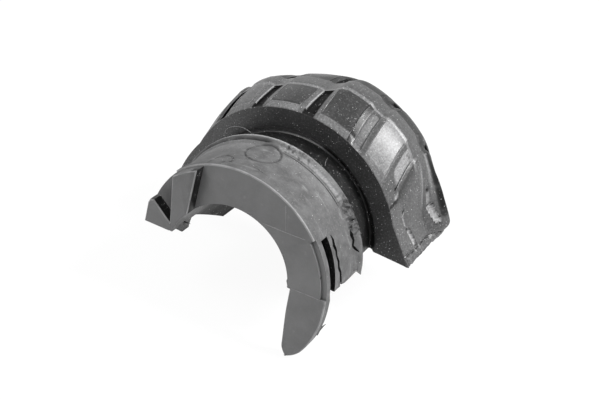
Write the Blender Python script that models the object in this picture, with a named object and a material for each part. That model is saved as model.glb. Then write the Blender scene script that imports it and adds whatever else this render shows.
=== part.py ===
"""One half of a split anti-roll (sway) bar bushing: a single rubber moulding.

Metres, +Z up. The bar runs along Y and the bore axis is the world Y axis; the
origin is on that axis, in the plane of the front end plate. The half arch is
open downwards. At +X the plate runs on below the split as a tongue; at -X a
keeper stands in front of the pocket that takes the tongue of the other half.
From front to back: end plate, ring, lip, neck, tread. Sizes are in mm, and
every radius is built up from the bore, so a new bar size changes them all.
"""
import bpy
import bmesh
import math
from mathutils import Vector

MM = 0.001

# Bore: it fits a 28 mm bar and runs through the whole length
BORE_R = 14.0
BORE_FACETS = 96
LENGTH = 49.0

# Ring, its lip, and the smooth neck behind it
RING_WALL = 8.5
RING_R = BORE_R + RING_WALL
LIP_H = 1.1
LIP_R = RING_R + LIP_H
LIP_TOP_W = 1.3
LIP_EDGE_W = 0.6
LIP_Y = 16.3
LIP_RISE = 2.4
NECK_R = RING_R - 1.8
NECK_FILLET = 3.3

# Front end plate, with a rabbet along its rim above the tongue
PLATE_R = RING_R + 0.4
PLATE_T = 2.2
PLATE_EDGE = 0.35
RABBET_W = 1.2
RABBET_DEPTH = 0.7
RABBET_TOP_Z = 13.6
RABBET_GAP = 0.3

# Tongue: straight inside, an arc outside, and a round tip
TONGUE_CLEAR = 0.55
TONGUE_X = BORE_R + TONGUE_CLEAR
TONGUE_ARC_R = PLATE_R + 0.7
TONGUE_ARC_SHIFT = 0.5
TONGUE_ARC_Z = -1.3
TONGUE_REACH = 2.1
TONGUE_TIP_Z = -(BORE_R + TONGUE_REACH)
TONGUE_TIP_R = 3.1
TONGUE_TAPER = 0.6

# Pocket for the tongue of the other half, and the keeper in front of it
POCKET_CLEAR = 0.2
POCKET_IN = 1.15
POCKET_X = POCKET_IN - TONGUE_X
POCKET_Z = POCKET_CLEAR - TONGUE_TIP_Z
POCKET_CORNER = 2.6
KEEPER_H = 2.8
KEEPER_EDGE = 0.25
KEEPER_ROOT = 0.9
KEEPER_BOTTOM_Z = 3.4
BLOCK_LEFT_X = (-BORE_R - 1.1, -BORE_R - 0.2)
BLOCK_RIGHT_X = (4.45 - BORE_R, 3.6 - BORE_R)
BLOCK_WAIST_Z = 9.0
EAR_LEFT_X = 1.9 - RING_R
EAR_TOP_Z = 9.2
EAR_NOTCH = (-BORE_R - 0.7, 5.75)

# Relief slot in the ring behind the tongue; a tab on the left side fits one like it
SLOT_GAP = 0.5
SLOT_Y = PLATE_T + SLOT_GAP
SLOT_W = 2.5
SLOT_FLOOR_R = RING_R - 3.9
SLOT_TOP_DEG = 36.0
TAB_CLEAR = 0.2
TAB_BOTTOM_Z = 0.7

# Tread: dished end ring, bevelled band, and a crown whose height changes with the angle
TREAD_WALL = 12.9
TREAD_EDGE_R = BORE_R + TREAD_WALL
TREAD_Y = 24.6
TREAD_W = LENGTH - TREAD_Y
TREAD_HALF = TREAD_W / 2.0
DISH_R = NECK_R + 1.6
DISH_DEPTH = 1.0
BAND_W = 1.4
BAND_RISE = 1.1
BAND_REAR_RISE = ((80.0, 1.6), (107.0, 0.45))
BAND_FOOT_W = (4.4, 3.1)
BAND_FOOT_DEG = (27.0, 44.0)
BAND_LEFT_W = 3.0
BAND_LEFT_DEG = (42.0, 56.0)
CREST = ((79.0, 5.3), (95.0, 2.5), (118.0, 2.5), (127.0, 3.3), (139.0, 3.3), (147.0, 2.8))

# Unbroken middle rib, a little proud of the pads
RIB_W = 3.8
RIB_BEVEL = 0.7
RIB_RISE = 0.2
RIB_DIP = 0.6

# Split line: the right foot ends above the bore axis, the left one below it
SPLIT_RIGHT_Z = 1.2
SPLIT_LEFT_Z = -3.3
LEFT_TURN_DEG = 8.5
LEFT_STEP_Y = 6.6
LEFT_SLOPE_Y = 19.6
SWEEP_DEG = 24.0

# Feet at the split: the edge flares out and the crown dies away
FOOT_OUT = 3.6
FOOT_START_DEG = (22.0, 29.0)
FOOT_END_Z = SPLIT_RIGHT_Z + 0.1
FOOT_END_DEG = math.degrees(math.asin(FOOT_END_Z / (TREAD_EDGE_R + FOOT_OUT)))
FOOT_POWER = (1.5, 1.1)
FADE_FRONT_DEG = (10.0, 42.0)
FADE_REAR_DEG = (0.0, 11.0)
FADE_LEFT_DEG = (28.0, 43.0)
REAR_BLEND = 5.0

# Grooves across the tread, one row on each side of the rib; each keeps its own x,
# because the mould opens upwards
GROOVE_REF_R = TREAD_EDGE_R + 1.6
GROOVE_DEG = (39.2, 63.5, 89.5, 115.5, 136.5)
GROOVE_FLOOR_W = 2.0
GROOVE_WALL_W = 0.2
GROOVE_WALL_H = 0.6
GROOVE_LENGTH = 9.2
GROOVE_END_W = 0.3
GROOVE_SILL = 0.12
GROOVE_FOOT_START = 3.2
BEVEL_W = 1.3
BEVEL_DROP = 0.45

# Stations round the bar: where they start to keep their x, their spacing, and the
# spacing of the lines along the pads
LEAN_DEG = (18.0, 34.0)
STATION_DEG = 5.2
LINE_STEP = 2.4

# Inside radius of the rough body, and a reach well past the part
CORE_R = BORE_R - 5.0
REACH = 2.0 * (TREAD_EDGE_R + FOOT_OUT)


def smooth(t, low, high):
    """0 below low, 1 above high, and an even S between."""
    t = min(1.0, max(0.0, (t - low) / (high - low)))
    return t * t * (3.0 - 2.0 * t)


def ramp(t, low, high):
    """0 below low, 1 above high, and a straight line between."""
    return min(1.0, max(0.0, (t - low) / (high - low)))


def polar(r, deg, y):
    a = math.radians(deg)
    return Vector((r * math.cos(a), y, r * math.sin(a))) * MM


def arc(r, deg0, deg1, steps):
    """Points (x, z) on a circle about the bore axis."""
    angles = [math.radians(deg0 + (deg1 - deg0) * i / steps) for i in range(steps + 1)]
    return [(r * math.cos(a), r * math.sin(a)) for a in angles]


def spaced(low, high, size):
    """Even steps from low up to, but not including, high."""
    n = max(1, round((high - low) / size))
    return [low + (high - low) * i / n for i in range(n)]


def inset(points, d):
    """The closed outline moved inwards by d, corner by corner."""
    turn = sum(a[0] * b[1] - b[0] * a[1] for a, b in zip(points, points[1:] + points[:1]))
    side = 1.0 if turn > 0 else -1.0
    out = []
    for i, p in enumerate(points):
        a, b, c = Vector(points[i - 1]), Vector(p), Vector(points[(i + 1) % len(points)])
        n0 = Vector((-(b - a).y, (b - a).x)).normalized() * side
        n1 = Vector((-(c - b).y, (c - b).x)).normalized() * side
        m = (n0 + n1).normalized()
        m = m * (d / max(0.5, m.dot(n0)))
        out.append((b.x + m.x, b.y + m.y))
    return out


def solid(name, rings):
    """A closed body through equal rings of points, with a flat cap at each end."""
    bm = bmesh.new()
    rows = [[bm.verts.new(p) for p in ring] for ring in rings]
    n = len(rows[0])
    for r0, r1 in zip(rows, rows[1:]):
        for i in range(n):
            j = (i + 1) % n
            bm.faces.new((r0[i], r0[j], r1[j], r1[i]))
    bm.faces.new(list(reversed(rows[0])))
    bm.faces.new(rows[-1])
    bmesh.ops.triangulate(bm, faces=[f for f in bm.faces if len(f.verts) > 4])
    bmesh.ops.recalc_face_normals(bm, faces=bm.faces[:])
    mesh = bpy.data.meshes.new(name)
    bm.to_mesh(mesh)
    bm.free()
    obj = bpy.data.objects.new(name, mesh)
    bpy.context.scene.collection.objects.link(obj)
    return obj


def prism(name, levels):
    """A body along Y through (y, outline) levels, each outline in (x, z)."""
    return solid(name, [[Vector((x, y, z)) * MM for x, z in pts] for y, pts in levels])


def slab(name, x0, x1, outline):
    """A body along X with one outline in (y, z)."""
    return solid(name, [[Vector((x, y, z)) * MM for y, z in outline] for x in (x0, x1)])


def combine(body, tool, operation):
    """Exact boolean of the tool into the body; the tool is then removed."""
    bpy.context.view_layer.objects.active = body
    mod = body.modifiers.new(operation, "BOOLEAN")
    mod.operation = operation
    mod.solver = "EXACT"
    mod.object = tool
    bpy.ops.object.modifier_apply(modifier=mod.name)
    bpy.data.objects.remove(tool, do_unlink=True)


def foot_angle(deg):
    """Angle up from the right split; the left foot sits LEFT_TURN_DEG lower."""
    return deg if deg <= 90.0 else 180.0 - deg + LEFT_TURN_DEG


def edge_radius(deg, y):
    """Radius of the tread's own edge, flaring into the feet, later at the right front."""
    f = foot_angle(deg)
    if f < FOOT_END_DEG:
        return (TREAD_EDGE_R + FOOT_OUT) / math.cos(math.radians(f))
    rear = ramp(y, TREAD_Y, TREAD_Y + TREAD_W) if deg < 90.0 else 1.0
    start = FOOT_START_DEG[0] + (FOOT_START_DEG[1] - FOOT_START_DEG[0]) * rear
    power = FOOT_POWER[0] + (FOOT_POWER[1] - FOOT_POWER[0]) * rear
    return TREAD_EDGE_R + FOOT_OUT * ramp(f, start, FOOT_END_DEG) ** power


def crown_left(deg, side, y):
    """Share of the crown that is left at this angle as it dies away into the feet."""
    f = foot_angle(deg)
    if deg > 90.0:
        return smooth(f, *FADE_LEFT_DEG)
    rear = ramp(y, TREAD_Y + TREAD_HALF, TREAD_Y + TREAD_HALF + REAR_BLEND)
    return smooth(f, *FADE_FRONT_DEG) * (1.0 - rear) + smooth(f, *FADE_REAR_DEG) * rear


def by_angle(table, deg):
    """A value that passes smoothly through a table of (angle, value) pairs."""
    value = table[0][1]
    for (a, v0), (b, v1) in zip(table, table[1:]):
        value += (v1 - v0) * smooth(deg, a, b)
    return value


def width_deg(w):
    """The angle that a width takes up on the grooves' own radius."""
    return math.degrees(w / GROOVE_REF_R)


def tread_radius(deg, y):
    """Radius of the tread surface: bevelled band, pads, grooves and middle rib."""
    side = max(0.0, min(y - TREAD_Y, TREAD_Y + TREAD_W - y))
    rear = y > TREAD_Y + TREAD_HALF
    if deg < 90.0:
        band = BAND_W + (BAND_FOOT_W[rear] - BAND_W) * (1.0 - smooth(deg, *BAND_FOOT_DEG))
    else:
        band = BAND_W + (BAND_LEFT_W - BAND_W) * (1.0 - smooth(foot_angle(deg), *BAND_LEFT_DEG))
    crest = by_angle(CREST, deg)
    band_rise = by_angle(BAND_REAR_RISE, deg) if rear else BAND_RISE
    if side <= band:
        rise = band_rise * side / band
    else:
        rise = crest - (crest - band_rise) * ((TREAD_HALF - side) / (TREAD_HALF - band)) ** 2
    rib = ramp(side, TREAD_HALF - RIB_W / 2.0 - RIB_BEVEL, TREAD_HALF - RIB_W / 2.0)
    rise = (rise + RIB_RISE * rib) * crown_left(deg, side, y)
    for centre in GROOVE_DEG:
        off = abs(deg - centre)
        floor_end = width_deg(GROOVE_FLOOR_W / 2.0)
        wall_end = floor_end + width_deg(GROOVE_WALL_W)
        bevel_end = wall_end + width_deg(BEVEL_W)
        if off >= bevel_end:
            continue
        start = GROOVE_FOOT_START if rear or centre < FADE_FRONT_DEG[1] else 0.0
        lean = 1.0 - ramp(off, wall_end, bevel_end)
        lean *= ramp(side, start * 0.5, max(start, BAND_W))
        rise -= (BEVEL_DROP * (1.0 - rib) + RIB_DIP * rib) * lean
        cut = 1.0 - ramp(off, floor_end, wall_end)
        cut *= 1.0 - ramp(side, GROOVE_LENGTH, GROOVE_LENGTH + GROOVE_END_W)
        cut *= ramp(side, start - GROOVE_END_W, start) if start else 1.0
        rise -= GROOVE_WALL_H * cut
    return edge_radius(deg, y) + max(rise, GROOVE_SILL if side > 0.0 else 0.0)


def lean_over(deg, r):
    """Above the feet a station keeps its x as the radius grows, as the grooves do."""
    share = smooth(min(deg, 180.0 - deg), *LEAN_DEG)
    c = math.cos(math.radians(deg)) * GROOVE_REF_R / r
    return deg + share * (math.degrees(math.acos(max(-1.0, min(1.0, c)))) - deg)


# Start from an empty scene
for old in list(bpy.data.objects):
    bpy.data.objects.remove(old, do_unlink=True)

# Outline of the moulding from the front of the ring to the annular face of the tread
section = [(CORE_R, PLATE_T - 1.0), (RING_R, PLATE_T - 1.0), (RING_R, LIP_Y - LIP_RISE)]
section += [(RING_R + LIP_H * smooth(t, 0.0, 1.0), LIP_Y - LIP_RISE + (LIP_RISE - LIP_EDGE_W) * t)
            for t in (0.3, 0.6, 1.0)]
section += [(LIP_R, LIP_Y), (LIP_R - LIP_TOP_W, LIP_Y)]
drop = LIP_R - LIP_TOP_W - NECK_R
section += [(NECK_R + drop * (1.0 - math.sin(a)), LIP_Y + NECK_FILLET * (1.0 - math.cos(a)))
            for a in (0.45, 0.9, 1.25, math.pi / 2)]
section += [(NECK_R, TREAD_Y + DISH_DEPTH), (DISH_R - 0.6, TREAD_Y + DISH_DEPTH * 0.7), (DISH_R, TREAD_Y)]

# Lines along the tread, with one at each edge of the band, the grooves and the rib
rib_start = TREAD_HALF - RIB_W / 2.0 - RIB_BEVEL
run = [0.0, BAND_W, GROOVE_FOOT_START - GROOVE_END_W, GROOVE_FOOT_START, BAND_FOOT_W[0]]
run += spaced(BAND_FOOT_W[0], GROOVE_LENGTH, LINE_STEP)[1:] + [GROOVE_LENGTH, GROOVE_LENGTH + GROOVE_END_W]
run += [rib_start + RIB_BEVEL, TREAD_HALF]
run += [TREAD_W - d for d in reversed(run[:-1])]

# Stations round the bar, with one at each edge of the grooves and their bevels
edges = [GROOVE_FLOOR_W / 2.0, GROOVE_FLOOR_W / 2.0 + GROOVE_WALL_W, GROOVE_FLOOR_W / 2.0 + GROOVE_WALL_W + BEVEL_W]
marks = [c + side * width_deg(w) for c in GROOVE_DEG for w in edges for side in (-1, 1)]
foot_marks = [FOOT_END_DEG] + [FOOT_END_DEG + (FOOT_START_DEG[1] - FOOT_END_DEG) * t for t in (0.2, 0.38, 0.54, 0.72, 1.0)]
marks += foot_marks + [180.0 + LEFT_TURN_DEG - f for f in foot_marks]
marks = sorted(marks + [-SWEEP_DEG, 180.0 + SWEEP_DEG])
stations = []
for a, b in zip(marks, marks[1:]):
    stations += spaced(a, b, STATION_DEG)
stations.append(marks[-1])

# Ring, lip, neck and tread: one closed body through all the stations
rings = []
for deg in stations:
    ring = [polar(r, deg, y) for r, y in section]
    for d in run:
        r = tread_radius(deg, TREAD_Y + d)
        ring.append(polar(r, lean_over(deg, r), TREAD_Y + d))
    rings.append(ring + [polar(CORE_R, deg, TREAD_Y + TREAD_W)])
body = solid("bushing_half", rings)

# Split line: level on the right, stepped and then sloping down on the left
low = [(REACH, -REACH), (-REACH, -REACH)]
right = low + [(-REACH, SPLIT_RIGHT_Z), (REACH, SPLIT_RIGHT_Z)]
combine(body, slab("below_right", 0.0, REACH, right), "DIFFERENCE")
tab_y = SLOT_Y + SLOT_W - TAB_CLEAR
left = low + [(-REACH, TAB_BOTTOM_Z), (tab_y, TAB_BOTTOM_Z), (tab_y, KEEPER_BOTTOM_Z), (LEFT_STEP_Y, KEEPER_BOTTOM_Z),
              (LEFT_SLOPE_Y, SPLIT_LEFT_Z), (REACH, SPLIT_LEFT_Z)]
combine(body, slab("below_left", -REACH, 0.0, left), "DIFFERENCE")

# Relief slot behind the tongue, open at the split
slot = [(SLOT_FLOOR_R, SLOT_Y), (REACH, SLOT_Y), (REACH, SLOT_Y + SLOT_W), (SLOT_FLOOR_R, SLOT_Y + SLOT_W)]
angles = [SLOT_TOP_DEG - 4.0 * i for i in range(13)]
combine(body, solid("relief_slot", [[polar(r, a, y) for r, y in slot] for a in angles]), "DIFFERENCE")

# End plate and tongue: one flat strip along the arch and down, with a small front edge
left_deg = 180.0 - math.degrees(math.asin(KEEPER_BOTTOM_Z / PLATE_R))
inner = arc(CORE_R, left_deg, 6.0, 44)
outer = arc(PLATE_R, left_deg, 6.0, 44)
for t in (1.06, 0.9, 0.75, 0.57, 0.39, 0.23, 0.146, 0.083, 0.032, 0.0):
    d = -TONGUE_TIP_Z * t
    z = TONGUE_TIP_Z + d
    nip = TONGUE_TIP_R - math.sqrt(TONGUE_TIP_R ** 2 - max(0.0, TONGUE_TIP_R * 0.85 - d) ** 2)
    taper = TONGUE_TAPER * smooth(t, 0.8, 0.0)
    edge = math.sqrt(TONGUE_ARC_R ** 2 - min(0.0, z - TONGUE_ARC_Z) ** 2) - TONGUE_ARC_SHIFT
    inner.append((TONGUE_X + taper + nip, z))
    outer.append((edge - nip, z))
rings = []
for i, (a, b) in enumerate(zip(inner, outer)):
    across = (Vector(b) - Vector(a)).normalized() * PLATE_EDGE
    lift = PLATE_EDGE if i == len(inner) - 1 else 0.0
    ring = [(a[0] + across.x, 0.0, a[1] + across.y + lift), (b[0] - across.x, 0.0, b[1] - across.y + lift),
            (b[0], PLATE_EDGE, b[1]), (b[0], PLATE_T, b[1]), (a[0], PLATE_T, a[1]), (a[0], PLATE_EDGE, a[1])]
    rings.append([Vector(p) * MM for p in ring])
combine(body, solid("end_plate", rings), "UNION")

# Rabbet in the plate's rim, from just above the split up the right side
rabbet_r = PLATE_R - RABBET_W
ends = [math.degrees(math.asin(z / rabbet_r)) for z in (SPLIT_RIGHT_Z + RABBET_GAP, RABBET_TOP_Z)]
rabbet = arc(rabbet_r, ends[0], ends[1], 10) + arc(LIP_R, ends[1], ends[0], 10)
combine(body, prism("rim_rabbet", [(-RABBET_DEPTH, rabbet), (RABBET_DEPTH, rabbet)]), "DIFFERENCE")

# Keeper block in front of the plate, then the pocket behind it
block_deg = [math.degrees(math.acos(x / RING_R)) for x in (BLOCK_LEFT_X[0], BLOCK_RIGHT_X[0])]
block = arc(RING_R, block_deg[0], block_deg[1], 4)
block += [(BLOCK_RIGHT_X[1], BLOCK_WAIST_Z), (BLOCK_LEFT_X[1] + 0.8, KEEPER_BOTTOM_Z), (BLOCK_LEFT_X[1], KEEPER_BOTTOM_Z)]
levels = [(-KEEPER_H, inset(block, KEEPER_EDGE)), (-KEEPER_H + KEEPER_EDGE, block), (KEEPER_ROOT, block)]
combine(body, prism("keeper_block", levels), "UNION")
pocket = [(POCKET_X, -POCKET_Z), (-REACH, -POCKET_Z), (-REACH, POCKET_Z * 0.5), (POCKET_X - 6.8, POCKET_Z - POCKET_CORNER),
          (POCKET_X - 4.4, POCKET_Z), (POCKET_X - 1.6, POCKET_Z), (POCKET_X - 0.7, POCKET_Z - 1.5), (POCKET_X, POCKET_Z * 0.5)]
combine(body, prism("pocket", [(-POCKET_CLEAR, pocket), (PLATE_T + POCKET_CLEAR, pocket)]), "DIFFERENCE")

# Ear: the low end of the keeper, joined to the block under the notch
ear = [(EAR_LEFT_X, KEEPER_BOTTOM_Z - 0.3), (EAR_LEFT_X + 0.35, EAR_TOP_Z - 1.2), (EAR_LEFT_X + 0.8, EAR_TOP_Z - 0.2),
       (EAR_LEFT_X + 1.7, EAR_TOP_Z), EAR_NOTCH, (BLOCK_LEFT_X[1] + 0.4, EAR_NOTCH[1] - 0.5),
       (BLOCK_LEFT_X[1] + 0.5, KEEPER_BOTTOM_Z + 0.2), (BLOCK_LEFT_X[1] - 0.3, KEEPER_BOTTOM_Z - 0.1)]
levels = [(-KEEPER_H, inset(ear, KEEPER_EDGE)), (-KEEPER_H + KEEPER_EDGE, ear), (-POCKET_CLEAR, ear)]
combine(body, prism("keeper_ear", levels), "UNION")

# Bore for the bar, through everything
bore = arc(BORE_R, 0.0, 360.0, BORE_FACETS)[:-1]
combine(body, prism("bore", [(-REACH, bore), (REACH, bore)]), "DIFFERENCE")

# Merge the seams the booleans leave, and shade
bm = bmesh.new()
bm.from_mesh(body.data)
bmesh.ops.remove_doubles(bm, verts=bm.verts[:], dist=0.00001)
bmesh.ops.dissolve_degenerate(bm, edges=bm.edges[:], dist=0.000005)
bmesh.ops.triangulate(bm, faces=bm.faces[:])
bmesh.ops.recalc_face_normals(bm, faces=bm.faces[:])
bm.to_mesh(body.data)
bm.free()
body.data.shade_smooth()
body.data.set_sharp_from_angle(angle=math.radians(24.0))

# Material: black moulded rubber
rubber = bpy.data.materials.new("moulded_rubber")
rubber.use_nodes = True
shader = rubber.node_tree.nodes["Principled BSDF"]
shader.inputs["Base Color"].default_value = (0.035, 0.035, 0.036, 1.0)
shader.inputs["Roughness"].default_value = 0.55
rubber.diffuse_color = (0.035, 0.035, 0.036, 1.0)
body.data.materials.clear()
body.data.materials.append(rubber)
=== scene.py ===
"""Dressed model of one half of a split sway bar bushing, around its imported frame.

One rubber moulding, built in the order in which its features lie along the bar:
swept body, split line, end plate and tongue, keeper, bore, tears and flash, finish,
then the fibres that cling to it. Sizes are in mm unless a name ends in _M; +Z is the
crown side and the bar lies along Y.
"""

import math

import bmesh
import bpy
from mathutils import Matrix, Vector, noise


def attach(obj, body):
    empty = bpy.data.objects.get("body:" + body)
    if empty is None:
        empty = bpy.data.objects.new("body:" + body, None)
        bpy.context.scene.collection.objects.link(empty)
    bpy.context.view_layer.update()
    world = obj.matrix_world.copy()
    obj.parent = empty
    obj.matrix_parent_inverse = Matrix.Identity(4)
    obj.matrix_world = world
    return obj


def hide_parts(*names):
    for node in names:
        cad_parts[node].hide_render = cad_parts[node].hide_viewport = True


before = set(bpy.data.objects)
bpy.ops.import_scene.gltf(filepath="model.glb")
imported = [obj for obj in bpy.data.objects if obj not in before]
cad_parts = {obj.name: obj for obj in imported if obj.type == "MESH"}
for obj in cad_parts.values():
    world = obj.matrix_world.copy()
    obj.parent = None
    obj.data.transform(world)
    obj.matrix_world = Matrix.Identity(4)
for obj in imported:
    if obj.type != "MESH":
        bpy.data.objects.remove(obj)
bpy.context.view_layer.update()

# Swept body: ring, lip, neck and tread
# The ring, its lip, the smooth neck and the crowned tread with its feet are one black
# rubber moulding. It is swept round the bar axis, and every groove keeps its own x,
# because the mould opens upwards.
MM = 0.001
BORE_R = 14.0
CORE_R = BORE_R - 5.0
LENGTH = 49.0
RING_R = BORE_R + 8.5
LIP_H = 1.1
LIP_R = RING_R + LIP_H
LIP_Y = 16.3
LIP_SLOPE_Y = (LIP_Y - 2.9, LIP_Y - 0.7)
LIP_TOP_W = 1.3
NECK_R = RING_R - 1.8
NECK_FILLET = 3.3
PLATE_T = 2.2
TREAD_Y = 24.6
TREAD_W = LENGTH - TREAD_Y
TREAD_HALF = TREAD_W / 2.0
TREAD_EDGE_R = BORE_R + 12.9
DISH_R = NECK_R + 1.6
DISH_DEPTH = 1.0
BAND_W = 1.4
BAND_RISE = 1.1
BAND_REAR_RISE = ((80.0, 1.6), (107.0, 0.45))
BAND_FOOT_W = (4.4, 3.1)
BAND_FOOT_DEG = (27.0, 44.0)
BAND_LEFT_W = 3.0
BAND_LEFT_DEG = (42.0, 56.0)
CREST = ((79.0, 5.3), (95.0, 2.5), (118.0, 2.5), (127.0, 3.3), (139.0, 3.3), (147.0, 2.8))
RIB_W = 3.8
RIB_BEVEL = 0.7
RIB_RISE = 0.2
RIB_DIP = 0.6
RIB_TOP = TREAD_HALF - RIB_W / 2.0
RIB_FOOT = RIB_TOP - RIB_BEVEL
SPLIT_RIGHT_Z = 1.2
SPLIT_LEFT_Z = -3.3
LEFT_TURN_DEG = 8.5
FOOT_OUT = 3.6
FOOT_START_DEG = (22.0, 29.0)
FOOT_END_DEG = math.degrees(math.asin((SPLIT_RIGHT_Z + 0.1) / (TREAD_EDGE_R + FOOT_OUT)))
FOOT_POWER = (1.5, 1.1)
FADE_FRONT_DEG = (10.0, 42.0)
FADE_REAR_DEG = (0.0, 11.0)
FADE_LEFT_DEG = (28.0, 43.0)
REAR_BLEND = 5.0
GROOVE_REF_R = TREAD_EDGE_R + 1.6
GROOVE_DEG = (39.2, 63.5, 89.5, 115.5, 136.5)
GROOVE_FLOOR_W = 2.0
GROOVE_WALL_W = 0.2
GROOVE_WALL_H = 0.6
GROOVE_LENGTH = 9.2
GROOVE_END_W = 0.3
GROOVE_SILL = 0.12
GROOVE_FOOT_START = 3.2
BEVEL_W = 1.3
BEVEL_DROP = 0.45
LEAN_DEG = (18.0, 34.0)
SWEEP_DEG = 24.0
STATION_DEG = 0.62
LINE_STEP = 0.3
RING_STEP = 0.22
LIP_STEP = 0.14
NECK_STEP = 0.5
LIP_FINE_W = 3.4
SWEEP_START_Y = PLATE_T - 1.0
FACE_STEPS = (0.25, 0.5, 0.75, 0.93)
PAD_LINE_DEPTH = 0.16
PAD_LINE_W = 0.15
PAD_LINE_FADE_W = 0.3
PAD_LINE_DEG = (36.0, 44.0)
PAD_END_GAP = 0.2
PAD_END_HALF_W = 0.3
PAD_END_DEG = (44.0, 50.0)
WAVE_H = 0.07
WAVE_NOISE = (0.12, 0.25, 1.0)
WAVE_FOOT_DEG = (6.0, 12.0)

# Marks of the right foot: a crease is (y, low angle, high angle), and a dent runs between
# two (angle, y) points
FOOT_MARKS_END_DEG = 30.0
FOOT_MARKS_EDGE_W = 0.4
CREASES = ((29.2, 14.0, 25.0), (37.9, 18.0, 28.0))
CREASE_DEPTH = 0.45
CREASE_HALF_W = 0.34
CREASE_FADE_DEG = 3.0
DENTS = ((13.2, 29.9, 6.8, 30.7), (18.4, 38.3, 11.9, 39.3))
DENT_DEPTH = 0.6
DENT_HALF_W = 0.78
DENT_START_SHARE = 1.15
DENT_RUN_OUT = 0.4
DENT_FLOOR_SHARE = 0.6
BEAD_DEG = (3.9, 5.3)
BEAD_RISE = 0.35
BEAD_UNEVEN_DEG = 0.5
BEAD_NOISE = (0.8, 0.1, 3.0)
BEAD_GROOVE_DEPTH = 0.35
BEAD_GROOVE_GAP_DEG = 0.3
BEAD_GROOVE_HALF_DEG = 0.6
BEAD_FINE_END_DEG = 7.0
BEAD_FINE_SHARE = 0.4

# Marks of the ring and lip: an ejector's circle is (angle, y, radius), and a line of the
# lip is (y, half width, height)
EJECTORS = ((94.2, 10.3, 3.85), (109.5, 3.8, 2.2))
EJECTOR_DEPTH = 0.22
EJECTOR_HALF_W = 0.3
LIP_LINES_LEFT = ((14.9, 0.5, -0.55), (14.1, 0.4, 0.16))
LIP_LEFT_DEG = (94.0, 99.0)
LIP_LINES_RIGHT = ((13.45, 0.18, -0.35), (13.95, 0.16, -0.22), (13.15, 0.16, 0.14))
LIP_RIGHT_DEG = (40.0, 48.0, 84.0, 90.0)
TORN_RIGHT_DEG = (22.0, 28.0, 44.0, 48.0)
TORN_RIGHT_Y = (13.4, 14.4)
TORN_TOP_DEG = (74.0, 78.0, 90.0, 93.0)
TORN_TOP_Y = (14.0, 14.6, 15.4, 15.9)
TORN_TOP_SHARE = 0.6
TORN_HEIGHT = 0.6
TORN_SINK = 0.15
TORN_NOISE = (0.5, 1.6, 9.0)
TORN_FINE_SHARE = 0.6
TORN_FINE_NOISE = (1.3, 4.0, 2.0)
LIP_WAVE_H = 0.05
LIP_WAVE_Y = (14.5, 15.5)
LIP_NOISE = (0.35, 0.5, 5.0)
RING_WAVE_H = 0.018
RING_NOISE = (0.2, 0.5, 7.0)


def smooth(t, low, high):
    """0 below low, 1 above high, and an even S between."""
    t = min(1.0, max(0.0, (t - low) / (high - low)))
    return t * t * (3.0 - 2.0 * t)


def ramp(t, low, high):
    return min(1.0, max(0.0, (t - low) / (high - low)))


def bump(t, centre, half):
    """1 at the centre, straight down to 0 at half a width away."""
    return max(0.0, 1.0 - abs(t - centre) / half)


def between(t, low, low_end, high, high_end):
    """1 from low_end to high, 0 outside low and high_end, and an even S on each side."""
    return smooth(t, low, low_end) * (1.0 - smooth(t, high, high_end))


def uneven(a, b, a_rate, b_rate, seed):
    """Smooth noise, from about -1 to 1, over two places on the surface."""
    return noise.noise(Vector((a * a_rate, b * b_rate, seed)))


def polar(r, deg, y):
    a = math.radians(deg)
    return Vector((r * math.cos(a), y, r * math.sin(a)))


def foot_angle(deg):
    """Angle up from the right split; the left foot sits LEFT_TURN_DEG lower."""
    return deg if deg <= 90.0 else 180.0 - deg + LEFT_TURN_DEG


def edge_radius(deg, y):
    """Radius of the tread's own edge, flaring into the feet, later at the right front."""
    f = foot_angle(deg)
    if f < FOOT_END_DEG:
        return (TREAD_EDGE_R + FOOT_OUT) / math.cos(math.radians(f))
    rear = ramp(y, TREAD_Y, TREAD_Y + TREAD_W) if deg < 90.0 else 1.0
    start = FOOT_START_DEG[0] + (FOOT_START_DEG[1] - FOOT_START_DEG[0]) * rear
    power = FOOT_POWER[0] + (FOOT_POWER[1] - FOOT_POWER[0]) * rear
    return TREAD_EDGE_R + FOOT_OUT * ramp(f, start, FOOT_END_DEG) ** power


def crown_left(deg, y):
    """Share of the crown that is left at this angle as it dies away into the feet."""
    f = foot_angle(deg)
    if deg > 90.0:
        return smooth(f, *FADE_LEFT_DEG)
    rear = ramp(y, TREAD_Y + TREAD_HALF, TREAD_Y + TREAD_HALF + REAR_BLEND)
    return smooth(f, *FADE_FRONT_DEG) * (1.0 - rear) + smooth(f, *FADE_REAR_DEG) * rear


def by_angle(table, deg):
    """A value that passes smoothly through a table of (angle, value) pairs."""
    value = table[0][1]
    for (a, v0), (b, v1) in zip(table, table[1:]):
        value += (v1 - v0) * smooth(deg, a, b)
    return value


def width_deg(w):
    """The angle that a width takes up on the grooves' own radius."""
    return math.degrees(w / GROOVE_REF_R)


FLOOR_END_DEG = width_deg(GROOVE_FLOOR_W / 2.0)
WALL_END_DEG = FLOOR_END_DEG + width_deg(GROOVE_WALL_W)
BEVEL_END_DEG = WALL_END_DEG + width_deg(BEVEL_W)


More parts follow.
